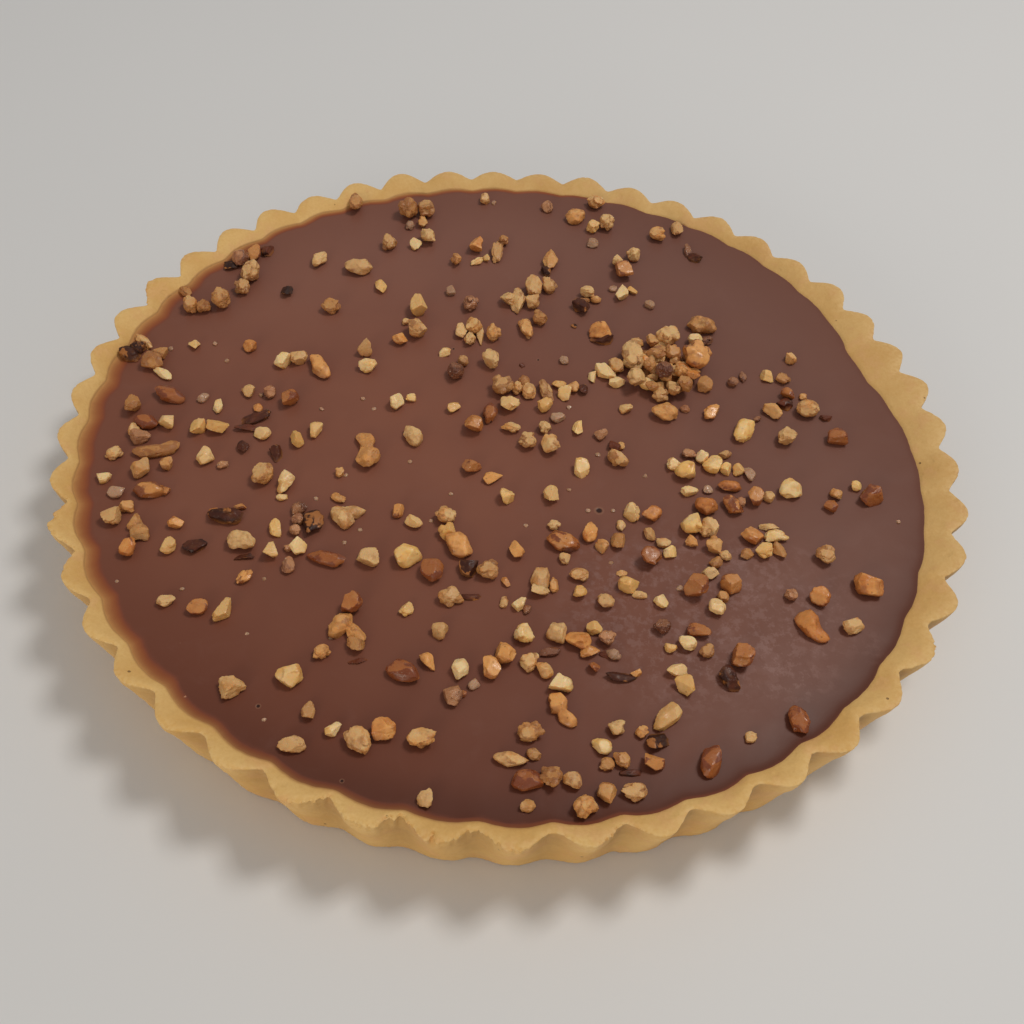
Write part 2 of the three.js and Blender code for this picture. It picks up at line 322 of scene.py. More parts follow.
def chocolateFinish():
    f = Finish("milk_chocolate")
    colour = {
        "brown": (0.252, 0.094, 0.058),
        "deep": (0.222, 0.081, 0.051),
        "greySheen": (0.160, 0.074, 0.057),
        "backSheen": (0.250, 0.116, 0.088),
        "edge": (0.135, 0.038, 0.020),
        "shadow": (0.085, 0.024, 0.013),
        "sheenAndSmudge": (0.265, 0.132, 0.108),
        "pit": (0.035, 0.011, 0.008),
        "speck": (0.34, 0.17, 0.10),
    }
    thinned = [
        (0.0, (0.180, 0.062, 0.040)),
        (0.2, (0.235, 0.066, 0.034)),
        (0.4, (0.305, 0.087, 0.031)),
        (0.6, (0.360, 0.122, 0.040)),
        (0.8, (0.435, 0.182, 0.059)),
        (0.92, (0.520, 0.240, 0.078)),
        (1.0, (0.58, 0.31, 0.105)),
    ]
    x, y = f.axis("X"), f.axis("Y")
    awaySquared = x * x + y * y
    tint = f.blend(f.step(f.cloud(38, 3), 0.3, 0.72), colour["brown"], colour["deep"])
    # painted reflection: paler and greyer towards the back
    tint = f.blend(f.step(y, 0.0, 0.1) * 0.5, tint, colour["backSheen"])
    # painted sheen: greyer to the right and the back
    tint = f.blend(f.step(x + y * 0.4, -0.03, 0.11) * 0.6, tint, colour["greySheen"])
    # painted shade: darker to the front and towards the rim
    front = f.step(y, -0.02, -0.12)
    out = f.step(awaySquared, 0.0095, 0.0165)
    tint = f.blend(front * 0.55 + out * 0.25, tint, colour["edge"])
    frontRight = y - x * 0.45
    atRim = f.step(awaySquared, 0.0140, 0.0168)
    tint = f.blend(atRim * f.step(frontRight, -0.05, -0.13) * 0.6, tint, colour["shadow"])
    # a blotchy painted sheen to the front right, with darker veins through it
    across = (x - sheenAndSmudge["x"]) * (1 / sheenAndSmudge["long"])
    along = (y - sheenAndSmudge["y"]) * (1 / sheenAndSmudge["wide"])
    reach = f.step(across * across + along * along + (f.cloud(22, 2) - 0.5) * 1.5, 1.15, 0.15)
    blotches = f.step(f.cloud(2.6, 5, 0.7), 0.50, 0.60) * 0.6 + f.step(f.cloud(9, 4, 0.65), 0.48, 0.6) * 0.4
    tint = f.blend(reach * blotches * 0.95, tint, colour["sheenAndSmudge"])
    veins = f.step(f.spots(6.5), 0.5, 0.8) * f.step(f.cloud(11, 3), 0.45, 0.65)
    tint = f.blend(reach * veins * 0.3, tint, colour["deep"])
    faint = f.step(f.cloud(16, 5, 0.7, 0.6), 0.52, 0.8)
    tint = f.blend(faint * 0.12, tint, colour["sheenAndSmudge"])
    chosen = f.step(f.spots(4.2, output="Color"), 0.86, 0.88)
    specks = f.step(f.spots(4.2), 0.06, 0.02) * chosen
    tint = f.blend(specks * 0.4, tint, colour["speck"])
    thin = f.attribute("thin") + (f.cloud(2.2, 3) - 0.5) * 0.12
    smear = f.node("ShaderNodeValToRGB", {"stops": thinned}, {0: thin})
    # painted shade on the thinned chocolate to the front right
    smear = f.blend(f.step(frontRight, -0.04, -0.12) * 0.55, smear, colour["edge"])
    tint = f.blend(f.step(thin, 0.0, 0.25), tint, smear)
    pit = ring = 0.0
    for holeX, holeY, size in holes:
        middle = (holeX * mm, holeY * mm, tart["level"] * mm)
        ends = {0: f.place(), 1: middle}
        away = f.node("ShaderNodeVectorMath", {"operation": "DISTANCE"}, ends, output="Value")
        pit = f.step(away, size * mm, size * mm * 0.5) + pit
        ring = f.step(away, size * mm * 1.5, size * mm * 1.1) + ring
    # the holes are painted near black, a painted shade where the surface only dips, with a paler ring round
    # each
    tint = f.blend(ring * 0.35, tint, colour["speck"])
    tint = f.blend(pit, tint, colour["pit"])
    waves = f.cloud(24, 2) * 1.5 + f.cloud(5, 3) * 0.16 + f.cloud(1.8, 2) * reach * 0.04 - pit * 0.8
    f.set(Base_Color=tint, Roughness=f.cloud(9, 4) * 0.14 + 0.33, Normal=f.relief(waves, 0.35, 0.5))
    f.set(Specular_IOR_Level=0.22)
    return f.material


nutLayers = ("tone", "shade", "rise", "side", "inside", "crease")


def nutFinish(name, colours, roughness, patch, relief):
    f = Finish(name)
    tone, shade, rise, side, inside, crease = (f.attribute(layer) for layer in nutLayers)
    flush = f.step(f.cloud(patch * 1.4, 2) + (tone - 0.5) * 0.5 - inside * 0.08, 0.35, 0.65)
    tint = f.blend(flush, colours["light"], colours["warm"])
    tint = f.blend(inside * 0.3, tint, colours["light"])
    mottle = f.step(f.cloud(patch, 3, 0.5) + (0.5 - inside) * 0.14, 0.46, 0.66)
    tint = f.blend(mottle * 0.55, tint, colours["dark"])
    tint = f.blend(f.step(shade, 0.25, 1.0) * 0.9, tint, colours["dark"])
    # painted highlight: light-toned nuts are lighter towards the top
    tint = f.blend(f.step(tone, 0.45, 0.0) * f.step(rise, 0.3, 0.8) * 0.45, tint, colours["light"])
    skin = f.step(f.cloud(patch * 1.6, 3, 0.6) - inside * 0.22 + (shade - 0.5) * 0.26, 0.5, 0.58)
    tint = f.blend(skin * colours["skinShare"], tint, colours["skin"])
    # painted shade in the creases between knobs
    tint = f.blend(crease * 0.5, tint, colours["skin"])
    fine = f.step(f.cloud(0.9, 4, 0.7), 0.45, 0.7)
    tint = f.blend(fine * 0.1, tint, colours["dark"])
    # painted shade on the steep sides, which are browner too
    tint = f.blend(f.step(side, 0.3, 0.95) * 0.5, tint, colours["dark"])
    # painted shade towards the foot of each nut
    tint = f.blend(f.step(rise, 0.55, 0.0) * 0.7, tint, colours["skin"])
    chosen = f.step(f.spots(1.6, output="Color"), 0.6, 0.7)
    pits = f.step(f.spots(1.6), 0.24, 0.1) * chosen
    tint = f.blend(pits * colours["pitShare"], tint, colours["pit"])
    # painted glints: a few near-white specks on the sugar grains
    grains = f.step(f.spots(0.75), 0.2, 0.1) * f.step(f.spots(0.75, output="Color"), 0.6, 0.66)
    tint = f.blend(grains * colours["glint"], tint, (0.9, 0.8, 0.62))
    height = f.cloud(0.5, 4, 0.65) * 0.6 + f.cloud(1.6, 3) - pits * 0.5 + grains * 0.3
    oily = f.step(f.cloud(2.4, 3), 0.42, 0.6)
    shine = f.cloud(1.6, 3) * 0.2 + roughness - oily * 0.3
    f.set(Base_Color=tint, Roughness=shine, Normal=f.relief(height, relief, 0.85))
    f.set(Specular_IOR_Level=colours["gloss"], Subsurface_Weight=colours["glow"])
    f.set(Subsurface_Radius=(1.0, 0.5, 0.22), Subsurface_Scale=1.2 * mm)
    return f.material


nutColours = {
    "pale": {
        "light": (0.97, 0.685, 0.345),
        "warm": (0.97, 0.575, 0.18),
        "dark": (0.74, 0.39, 0.11),
        "skin": (0.58, 0.26, 0.065),
        "pit": (0.30, 0.13, 0.04),
        "skinShare": 0.5,
        "pitShare": 0.3,
        "glint": 0.15,
        "gloss": 0.5,
        "glow": 0.3,
    },
    "golden": {
        "light": (0.82, 0.51, 0.218),
        "warm": (0.77, 0.35, 0.098),
        "dark": (0.50, 0.215, 0.06),
        "skin": (0.30, 0.10, 0.03),
        "pit": (0.12, 0.045, 0.02),
        "skinShare": 0.55,
        "pitShare": 0.18,
        "glint": 0.3,
        "gloss": 0.5,
        "glow": 0.25,
    },
    "roasted": {
        "light": (0.86, 0.405, 0.118),
        "warm": (0.64, 0.225, 0.048),
        "dark": (0.36, 0.105, 0.026),
        "skin": (0.20, 0.045, 0.016),
        "pit": (0.10, 0.03, 0.012),
        "skinShare": 0.85,
        "pitShare": 0.4,
        "glint": 0.2,
        "gloss": 0.5,
        "glow": 0.2,
    },
    "dark": {
        "light": (0.15, 0.034, 0.014),
        "warm": (0.062, 0.014, 0.006),
        "dark": (0.02, 0.006, 0.004),
        "skin": (0.56, 0.21, 0.055),
        "pit": (0.01, 0.004, 0.003),
        "skinShare": 0.7,
        "pitShare": 0.2,
        "glint": 0.1,
        "gloss": 0.3,
        "glow": 0.0,
    },
    "brown": {
        "light": (0.60, 0.28, 0.125),
        "warm": (0.46, 0.18, 0.075),
        "dark": (0.22, 0.075, 0.035),
        "skin": (0.11, 0.03, 0.016),
        "pit": (0.03, 0.01, 0.007),
        "skinShare": 0.6,
        "pitShare": 0.5,
        "glint": 0.8,
        "gloss": 0.45,
        "glow": 0.1,
    },
    "sugar": {
        "light": (0.54, 0.32, 0.195),
        "warm": (0.44, 0.24, 0.14),
        "dark": (0.42, 0.23, 0.13),
        "skin": (0.30, 0.16, 0.10),
        "pit": (0.2, 0.11, 0.08),
        "skinShare": 0.3,
        "pitShare": 0.1,
        "glint": 0.3,
        "gloss": 0.5,
        "glow": 0.4,
    },
}


def finishPiece(mesh, name, material, replaced=()):
    bmesh.ops.recalc_face_normals(mesh, faces=mesh.faces)
    for face in mesh.faces:
        face.smooth = True
    data = bpy.data.meshes.new(name)
    mesh.to_mesh(data)
    mesh.free()
    data.materials.append(material)
    piece = bpy.data.objects.new(name, data)
    bpy.context.scene.collection.objects.link(piece)
    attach(piece, "root")
    if replaced:
        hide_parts(*replaced)
    print("made", name, len(data.polygons), "faces")


def turned(stations, steps, layers, shape):  # closes a grid into a round whose section shape() gives
    mesh = bmesh.new()
    bmesh.ops.create_grid(mesh, x_segments=steps, y_segments=stations - 1, size=1)
    made = [mesh.verts.layers.float.new(name) for name in layers]
    for vertex in mesh.verts:
        column = round((vertex.co.x + 1) / 2 * steps) % steps
        station = round((vertex.co.y + 1) / 2 * (stations - 1))
        angle = 2 * math.pi * column / steps - math.pi
        radius, height, *values = shape(station, angle)
        vertex.co = (radius * math.cos(angle) * mm, radius * math.sin(angle) * mm, height * mm)
        for layer, value in zip(made, values):
            vertex[layer] = value
    bmesh.ops.remove_doubles(mesh, verts=mesh.verts, dist=1e-6)
    return mesh


crust = {  # rows of faces up the wall, round the lip, over the flat band and down to the chocolate
    "wall": 20,
    "lip": 6,
    "band": 11,
    "slope": 4,
    "steps": tart["lobes"] * 38,  # faces round the tart
    "underside": (14, 1.2),  # how far its rows lie in from the foot of the wall
    "lipRound": 0.22,
    "chip": 2.0,  # how deep the broken places go
}
# where the lip is broken: degrees round the tart, the half width in degrees, and how much
brokenPlaces = [(-93, 6, 1), (-33, 3, 0.4), (204, 4, 0.6), (-108, 3, 0.7), (-76, 2, 0.5), (160, 2, 0.5),
                (-99, 3, 1)]


def lerp(a, b, t):
    return a + (b - a) * t


def wallRadius(a, up):  # up is 0 at the foot and 1 at the lip
    shallow = 1.6 * bump(a, 0, 20) + 1.3 * bump(a, 165, 36)
    notch = lerp(tart["baseNotch"], tart["notch"] + shallow, up)
    reach = lobeReach[round(lobePlace(a)) % tart["lobes"]]
    tip = lerp(tart["baseTip"], tart["tip"] + reach, up**1.15)
    softness = 0.02 + 0.3 * bump(a, -85, 30) + 0.12 * (1 - up)
    return lerp(notch, tip, fluting(a, softness)) * roundness(a)


@remembered
def lipAt(a):  # the lip's radius, height and rounding, and how much is broken off it
    around = outward(a) * tart["tip"]
    level = rimLevel(a) + tart["tipRise"] * fluting(a) + 0.3 * noise.noise(around * 0.07)
    outer = wallRadius(a, 1.0) + 0.2 * noise.noise(around * 0.2) + 0.14 * noise.noise(around * 0.6)
    broken = sum(share * bump(a, centre, width) for centre, width, share in brokenPlaces)
    crumbled = noise.noise(around * 0.5 + Vector((3, 7, 1))) + 0.6 * noise.noise(around * 1.1)
    chip = crust["chip"] * broken * max(0.0, crumbled + 0.15)
    ragged = 0.45 * max(0.0, noise.noise(around * 0.8) - 0.05) + 0.4 * broken * noise.noise(around * 1.2)
    rounding = crust["lipRound"] * (1 + 0.5 * noise.noise(around * 0.11))
    return outer - chip - ragged, level - 0.3 * chip, rounding, chip


# radius, height, stain, edge and hollow shade, from the underside's middle round to the floor's
def crustShape(station, a):
    outer, lipTop, rounding, chip = lipAt(a)
    inner = mouth(a)
    around = outward(a) * tart["tip"]
    wall, lip, band, slope = (crust[name] for name in ("wall", "lip", "band", "slope"))
    if station == 0:
        return 0, 0, 0, 0, 0
    row = station - 1
    if row < len(crust["underside"]):
        return wallRadius(a, 0) - crust["underside"][row], 0, 0, 0, 0
    row -= len(crust["underside"])
    if row < wall:  # up the fluted wall
        up = 1 - (1 - row / wall) ** 1.5
        radius = lerp(wallRadius(a, up), outer, up**8)
        foot = 0.7 * max(0.0, 1 - up * 8) ** 2
        skin = around * (radius / tart["tip"]) + Vector((0, 0, up * 25))
        radius += 0.25 * noise.noise(skin * 0.22) + 0.12 * noise.noise(skin * 0.8) - foot
        radius -= 0.5 * min(chip, 1.2) * up**5 * max(0.0, noise.noise(skin * 0.9) + 0.2)
        if row == 0:
            radius += 0.35 * noise.noise(around * 0.5)
        # how much painted shade the flute's hollow gets, more towards the lip
        hollow = (1 - fluting(a, 0.15)) * min(1.0, 0.35 + up)
        return radius, up * (lipTop - rounding), 0, 0.3 * up**4, hollow
    row -= wall
    if row < lip:  # round the lip
        turn = math.pi / 2 * (row / (lip - 1))
        radius = outer - rounding * (1 - math.cos(turn))
        height = lipTop - rounding * (1 - math.sin(turn))
        return radius, height, 0, 1 - 0.5 * row / lip, 0
    row -= lip
    start = outer - rounding
    if row < band:  # over the rim's flat top
        t = (row + 1) / band
        radius = lerp(start, inner, t)
        flat = around * (radius / tart["tip"])
        swell = 0.3 * noise.noise(flat * 0.12) + 0.2 * noise.noise(flat * 0.45)
        crown = 0.5 * math.sin(math.pi * t**0.8) * (0.4 + 0.6 * fluting(a))
        worn = 0.4 * chip * max(0.0, 1 - 3 * t) ** 2
        height = lerp(lipTop, edgeLevel(a) + 0.15, t**1.4) + crown + swell * math.sin(math.pi * t) - worn
        return radius, height, stainAt(radius, a), 0.5 * (1 - t) ** 3, 0
    row -= band
    if row < slope:  # down to the chocolate, and then under it
        t = (row + 1) / slope
        return inner - 0.9 * t, edgeLevel(a) + 0.15 - 1.4 * t, stainAt(inner, a), 0, 0
    row -= slope
    if row == 0:
        return inner - 2.2, tart["floor"] + 1.5, 1, 0, 0
    if row == 1:
        return inner - 4, tart["floor"], 1, 0, 0
    return 0, tart["floor"], 1, 0, 0


def stainAt(radius, a):
    reach = min(1.0, max(0.0, (halo(a) - 0.5) / 1.5))
    return reach * math.exp(-max(0.0, radius - mouth(a)) / (0.3 + 0.45 * bump(a, 268, 25)))


def edgeLevel(a):  # the chocolate stands higher where it was spread up on the rim
    return tart["level"] + 0.5 + 0.1 * (halo(a) - 0.7)


def makeCrust():
    rows = crust["wall"] + crust["lip"] + crust["band"] + crust["slope"]
    stations = 1 + len(crust["underside"]) + rows + 3
    mesh = turned(stations, crust["steps"], ("stain", "edge", "hollow"), crustShape)
    finishPiece(mesh, "fluted_crust", pastryFinish("baked_pastry", 0.75), ["pastry_shell"])


filling = {
    "rings": 46,  # rows of faces from the middle to the edge
    "steps": tart["lobes"] * 14,  # faces round the tart
    "tuck": 0.7,  # how far it reaches in under the pastry
}


def fillingShape(station, a):  # radius, height and thinness, from the middle outwards and under
    edge = mouth(a)
    rings = filling["rings"]
    if station == 0:
        return 0, tart["level"], 0
    if station < rings:
        t = station / (rings - 1)
        radius = (edge + filling["tuck"]) * (1 - (1 - t) ** 1.7)
        spot = outward(a) * radius
        away = max(0.0, edge - radius)
        creep = (edgeLevel(a) - tart["level"]) * math.exp(-away / (0.9 + 0.3 * halo(a)))
        wave = 0.10 * noise.noise(spot * 0.03) + 0.04 * noise.noise(spot * 0.13)
        reach = halo(a) * (1 + 0.25 * noise.noise(spot * 0.15))
        thin = max(0.0, 1 - away / reach) * min(1.0, max(0.0, (halo(a) - 0.5) / 1.5))
        return radius, tart["level"] + creep + wave, thin
    if station == rings:
        return edge + filling["tuck"] * 0.6, tart["level"] - 1.5, 1
    if station == rings + 1:
        return edge - 3, tart["floor"] + 2, 1
    return 0, tart["floor"] + 0.5, 1


def makeFilling():
    stations = filling["rings"] + 3
    mesh = turned(stations, filling["steps"], ("thin",), fillingShape)
    finishPiece(mesh, "chocolate_layer", chocolateFinish(), ["chocolate_filling"])


# x, y, length and width in the view's pixels, and a clockwise turn in degrees
nutPlaces = {
    "roasted": [
        (254, 252, 18, 14, 90), (250, 346, 14, 11), (476, 244, 14, 13), (400, 339, 16, 11),
        (624, 270, 17, 15), (600, 331, 22, 15), (711, 411, 18, 14, -60), (787, 394, 13, 12),
        (166, 490, 12, 10, 90), (128, 547, 18, 18), (176, 523, 17, 12, -25), (258, 408, 10, 8),
        (214, 512, 12, 10), (240, 507, 14, 6), (244, 577, 20, 12, -40), (290, 398, 18, 16),
        (474, 424, 19, 17), (490, 413, 20, 16, 90), (471, 467, 19, 15, 20), (493, 477, 20, 11, -25),
        (398, 511, 16, 12, -40), (652, 514, 20, 15, -30), (590, 532, 22, 16, 90), (651, 557, 22, 20),
        (697, 586, 26, 24, 40), (517, 549, 20, 16, 90), (506, 582, 12, 8, 40), (837, 436, 20, 15),
        (756, 497, 16, 16), (731, 583, 22, 18, 45), (752, 536, 22, 14, 30), (820, 597, 20, 18),
        (197, 607, 23, 15, -15), (185, 697, 5, 4), (352, 602, 22, 22), (429, 661, 22, 14, 40),
        (462, 694, 10, 8), (491, 668, 24, 20, 60), (505, 653, 23, 22), (384, 728, 25, 25),
        (579, 638, 28, 20, 30), (590, 651, 20, 14), (594, 667, 13, 13), (636, 673, 12, 9),
        (700, 631, 25, 14, 20), (654, 762, 22, 19), (743, 656, 25, 24), (830, 506, 13, 12),
    ],
    "dark": [
        (267, 251, 13, 10), (231, 266, 14, 8), (287, 291, 12, 11), (130, 352, 22, 16),
        (695, 257, 14, 9), (546, 271, 10, 10), (581, 306, 18, 16), (602, 338, 24, 12),
        (574, 326, 6, 5), (522, 366, 6, 5), (784, 404, 18, 12), (826, 418, 13, 7), (195, 547, 26, 14),
        (255, 418, 36, 10, -18), (247, 428, 26, 8), (243, 447, 13, 12), (276, 453, 18, 14, 90),
        (244, 557, 22, 7, -10), (313, 522, 26, 22, 90), (469, 568, 20, 20), (583, 390, 10, 10),
        (614, 446, 12, 12), (546, 580, 9, 9), (358, 661, 22, 7, -5), (472, 597, 22, 8),
        (604, 655, 10, 8), (622, 677, 34, 12, -5), (658, 741, 24, 22), (632, 773, 26, 8),
    ],
    "brown": [
        (240, 258, 18, 14), (471, 303, 16, 14), (456, 371, 17, 16), (547, 207, 12, 9),
        (688, 251, 12, 8, 90), (706, 341, 14, 8), (743, 377, 12, 8, 90), (733, 382, 12, 9),
        (140, 437, 22, 13), (223, 465, 12, 8), (270, 392, 12, 12), (288, 565, 18, 14, 90),
        (289, 548, 10, 8), (298, 508, 18, 12, -35), (299, 519, 14, 12), (295, 530, 12, 12),
        (601, 435, 14, 11), (685, 409, 10, 7), (689, 454, 15, 9), (757, 419, 8, 6),
        (741, 502, 12, 9, 90), (791, 595, 13, 13), (453, 695, 24, 20, 90), (527, 609, 12, 9, 90),
        (550, 652, 22, 10), (607, 638, 18, 17), (662, 627, 18, 16),
    ],
    "golden": [
        (250, 271, 20, 18), (242, 287, 16, 13), (221, 298, 19, 18), (186, 292, 14, 10, 45),
        (190, 305, 15, 14), (204, 306, 15, 12), (144, 342, 20, 10, 45), (159, 353, 17, 12),
        (248, 391, 14, 12), (356, 202, 18, 14, 90), (408, 209, 20, 18), (426, 208, 18, 14),
        (423, 222, 10, 10), (428, 236, 15, 14), (390, 243, 15, 12), (456, 260, 11, 11),
        (485, 199, 10, 8), (497, 253, 20, 12, 90), (503, 240, 11, 10), (331, 306, 19, 13, -15),
        (417, 328, 20, 18), (406, 322, 8, 6), (365, 347, 15, 15), (461, 331, 15, 12, 90),
        (474, 325, 17, 15), (470, 339, 12, 12), (480, 336, 20, 8, 90), (494, 333, 15, 14),
        (491, 359, 17, 17), (463, 361, 11, 10), (299, 357, 18, 14), (607, 222, 15, 14),
        (657, 234, 15, 12), (677, 229, 15, 12, 90), (551, 259, 22, 15, 110), (534, 286, 18, 17),
        (550, 285, 15, 13), (508, 299, 16, 13), (518, 301, 24, 16, 90), (532, 301, 15, 13),
        (540, 318, 15, 13), (527, 329, 22, 12, 65), (587, 292, 15, 11), (584, 300, 12, 5),
        (596, 299, 11, 8), (618, 261, 12, 11), (633, 254, 14, 12), (660, 395, 17, 13),
        (783, 379, 15, 9, 30), (791, 358, 12, 11), (773, 410, 20, 16, 60), (803, 397, 8, 7),
        (808, 408, 23, 18, -10), (133, 405, 17, 17), (134, 431, 12, 12), (114, 453, 19, 12),
        (167, 463, 14, 13), (127, 506, 16, 12), (111, 516, 18, 17), (263, 474, 22, 20),
        (340, 473, 9, 9), (338, 498, 16, 9, 30), (446, 515, 20, 18, -30), (370, 556, 23, 19, 30),
        (487, 569, 23, 20), (451, 597, 27, 19), (503, 386, 22, 18), (524, 382, 12, 12),
        (517, 388, 12, 12), (529, 391, 16, 14, 90), (546, 391, 24, 12, 65), (574, 388, 12, 10),
        (511, 428, 20, 10, 15), (528, 441, 18, 16, 20), (545, 427, 14, 13), (550, 444, 20, 18, 50),
        (618, 457, 21, 17), (621, 446, 8, 8), (626, 408, 14, 10), (554, 525, 14, 10),
        (565, 558, 12, 12), (602, 546, 14, 14), (621, 526, 12, 9, 90), (618, 541, 18, 15, 90),
        (650, 534, 16, 11, 60), (664, 543, 15, 10), (705, 530, 16, 14, 90), (691, 541, 13, 12),
        (540, 590, 20, 14), (554, 585, 17, 10, 90), (579, 575, 20, 14), (622, 574, 12, 6),
        (640, 595, 16, 8), (787, 435, 20, 17), (725, 455, 14, 8), (768, 497, 14, 11),
        (710, 527, 18, 18), (714, 545, 17, 17), (725, 556, 14, 10, 40), (716, 563, 14, 14),
        (710, 574, 18, 12), (723, 597, 12, 12), (769, 527, 20, 8, -5), (779, 551, 17, 13, 70),
        (747, 554, 14, 11), (826, 555, 20, 19), (166, 601, 20, 13), (231, 685, 29, 22, -25),
        (308, 711, 20, 15, 80), (292, 744, 30, 19, 5), (321, 652, 20, 15, -20), (356, 643, 20, 18, 50),
        (440, 631, 17, 17), (504, 602, 13, 9, 90), (529, 661, 22, 17, -60), (545, 670, 18, 18),
        (359, 740, 30, 26, 60), (422, 738, 31, 23, -15), (531, 732, 28, 21, -10), (534, 754, 15, 14),
        (551, 778, 24, 24), (426, 800, 21, 18, -30), (528, 805, 16, 15), (606, 601, 17, 16),
        (708, 651, 18, 15, -50), (617, 727, 18, 17, 45), (642, 732, 14, 14), (607, 764, 16, 14),
        (622, 760, 18, 18), (573, 781, 21, 18, 60), (585, 807, 25, 25, 40), (607, 793, 24, 20, 90),
        (634, 792, 27, 21), (751, 737, 12, 12), (853, 626, 22, 16), (836, 494, 12, 12),
        (596, 202, 18, 12),
    ],
    "pale": [
        (194, 345, 12, 9), (163, 373, 20, 10, 45), (283, 360, 18, 14), (416, 245, 13, 9),
        (477, 262, 14, 6, -20), (486, 258, 8, 7), (381, 286, 14, 12, 90), (419, 305, 17, 17),
        (368, 365, 19, 13), (445, 352, 12, 8), (593, 227, 13, 10), (622, 293, 16, 13, 90),
        (632, 291, 10, 7), (695, 340, 15, 12), (766, 376, 13, 11), (166, 421, 18, 15),
        (104, 478, 16, 10), (168, 545, 18, 16, 90), (218, 406, 16, 9, 100), (198, 427, 16, 14),
        (217, 427, 24, 14, 15), (262, 434, 18, 11), (275, 528, 19, 12, 90), (272, 551, 18, 16, -60),
        (297, 439, 15, 15), (315, 430, 17, 13, -70), (397, 401, 15, 15), (411, 398, 11, 8),
        (453, 407, 14, 10, -30), (282, 497, 12, 8), (298, 547, 18, 16), (414, 522, 17, 13, 35),
        (447, 531, 19, 17, -60), (559, 385, 15, 8), (510, 405, 20, 14, 5), (545, 405, 16, 13),
        (565, 394, 15, 12), (578, 428, 15, 12, -70), (582, 469, 18, 15, 90), (674, 464, 15, 12),
        (689, 491, 17, 11, 25), (702, 457, 13, 12), (507, 496, 15, 15), (551, 495, 17, 16, 90),
        (632, 512, 17, 17), (670, 552, 14, 12), (691, 524, 20, 20), (580, 592, 14, 14),
        (629, 584, 22, 18), (661, 602, 16, 12, 60), (714, 464, 18, 18, -45), (726, 469, 12, 12),
        (739, 470, 12, 11), (776, 536, 24, 12, -5), (764, 550, 19, 17, 90), (222, 610, 25, 16, 100),
        (333, 729, 17, 15), (407, 609, 16, 13, -50), (460, 669, 24, 18, 95), (519, 604, 15, 14),
        (524, 633, 21, 21), (594, 628, 16, 14), (687, 643, 18, 17), (671, 648, 13, 11),
        (677, 671, 21, 15, -10), (685, 686, 20, 20), (717, 607, 18, 17), (561, 683, 26, 19),
        (602, 746, 20, 18), (856, 486, 12, 10),
    ],
    "sugar": [
        (215, 344, 5, 4), (227, 361, 5, 4), (171, 349, 5, 4), (410, 225, 9, 8), (451, 291, 10, 8),
        (494, 203, 5, 4), (593, 243, 12, 8), (613, 289, 9, 6), (650, 305, 10, 8), (564, 360, 9, 8),
        (116, 492, 18, 12), (203, 398, 12, 9), (117, 582, 5, 4), (182, 589, 5, 4), (264, 579, 5, 4),
        (261, 395, 5, 4), (322, 409, 5, 4), (374, 409, 5, 4), (410, 462, 5, 4), (316, 499, 5, 4),
        (451, 494, 5, 4), (344, 543, 5, 4), (363, 399, 5, 4), (346, 475, 5, 4), (360, 530, 5, 4),
        (431, 521, 5, 4), (558, 418, 15, 10), (680, 588, 8, 6), (598, 455, 5, 4), (569, 408, 5, 4),
        (569, 490, 5, 4), (588, 511, 5, 4), (613, 511, 5, 4), (611, 563, 5, 4), (645, 476, 5, 4),
        (526, 526, 5, 4), (750, 474, 18, 10, 60), (708, 490, 10, 8), (898, 522, 5, 4),
        (247, 634, 5, 4), (264, 720, 5, 4), (331, 638, 5, 4), (474, 684, 13, 13),
        (614, 654, 17, 12, 35),
    ],
}
heapPlaces = {
    "golden": [
        (632, 354, 30, 20, 80), (637, 342, 14, 8), (653, 342, 14, 13), (668, 337, 25, 20),
        (656, 354, 18, 12), (673, 352, 16, 14), (650, 364, 14, 12), (617, 366, 18, 14, 60),
        (637, 378, 19, 17), (652, 386, 14, 10), (681, 371, 14, 12), (685, 384, 15, 15),
        (704, 384, 16, 14), (674, 390, 12, 12),
    ],
    "brown": [
        (664, 370, 18, 16),
    ],
    "pale": [
        (605, 372, 24, 12, 20), (592, 377, 12, 9, 90), (617, 382, 17, 10, -10),
    ],
    "roasted": [
        (698, 357, 29, 24), (692, 375, 16, 8),
    ],
}
# a nut is a heart with knobs joined on, cut by planes and bitten into; knobbly ones have more knobs
nutShapes = {
    "pale": {"heart": 0.8, "knobs": 3, "planes": 9, "depth": (0.32, 0.75), "bites": 2, "knobbly": 0.08},
    "golden": {"heart": 0.76, "knobs": 4, "planes": 8, "depth": (0.36, 0.8), "bites": 2, "knobbly": 0.4},
    "roasted": {"heart": 0.85, "knobs": 1, "planes": 7, "depth": (0.34, 0.78), "bites": 2, "knobbly": 0.05},
    "dark": {"heart": 0.8, "knobs": 1, "planes": 9, "depth": (0.3, 0.75), "bites": 2, "knobbly": 0.1},
    "brown": {"heart": 0.8, "knobs": 2, "planes": 7, "depth": (0.45, 0.8), "bites": 1, "knobbly": 0.5},
    "sugar": {"heart": 0.9, "knobs": 0, "planes": 9, "depth": (0.5, 0.8), "bites": 0, "knobbly": 0.1},
}
knobbly = {"heart": 0.72, "knobs": 8, "planes": 4, "depth": (0.62, 0.9), "bites": 1}
# rise is height over width; lumps and grain are coarse and fine unevenness; longer ones are finer meshes
nutSurfaces = {
    "pale": {"lumps": 0.09, "grain": 0.035, "fineOver": 3, "rise": 0.72},
    "golden": {"lumps": 0.12, "grain": 0.07, "fineOver": 5, "rise": 0.7},
    "roasted": {"lumps": 0.11, "grain": 0.035, "fineOver": 3, "rise": 0.74},
    "dark": {"lumps": 0.15, "grain": 0.06, "fineOver": 3, "rise": 0.55},
    "brown": {"lumps": 0.12, "grain": 0.08, "fineOver": 3, "rise": 0.7},
    "sugar": {"lumps": 0.08, "grain": 0.04, "fineOver": 4, "rise": 0.65},
}
